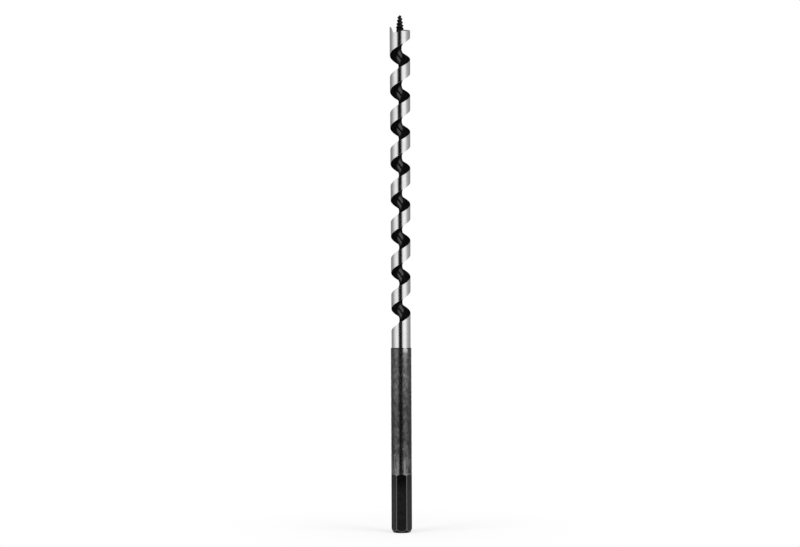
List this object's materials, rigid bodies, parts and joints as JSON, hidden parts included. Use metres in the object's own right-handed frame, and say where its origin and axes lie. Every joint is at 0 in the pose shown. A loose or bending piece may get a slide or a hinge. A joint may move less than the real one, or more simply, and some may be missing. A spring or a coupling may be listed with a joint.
{
  "type": "auger bit",
  "caption": "Long wood auger bit with a tapered lead screw, a spurred cutting head, an open helical flute with ground land, a plain round shank and a hexagonal drive end.",
  "frame": {"origin": "middle of the flat drive end face, on the axis of the bit", "axes": "+Z along the axis from the drive end to the point; two flats of the hexagon face -Y and +Y, and the spur stands on -X"},
  "size_m": [0.0126, 0.0126, 0.32],
  "materials": {
    "ground_steel": "ground bright on the land, blackened in the flute",
    "scaled_steel": "dark hot-rolled scale",
    "black_steel": "smooth black oxide"
  },
  "bodies": {
    "root": {"hex_drive": "black_steel", "round_shank": "scaled_steel", "twist_body": "ground_steel", "cutting_head": "ground_steel", "lead_screw": "black_steel"}
  },
  "joints": []
}
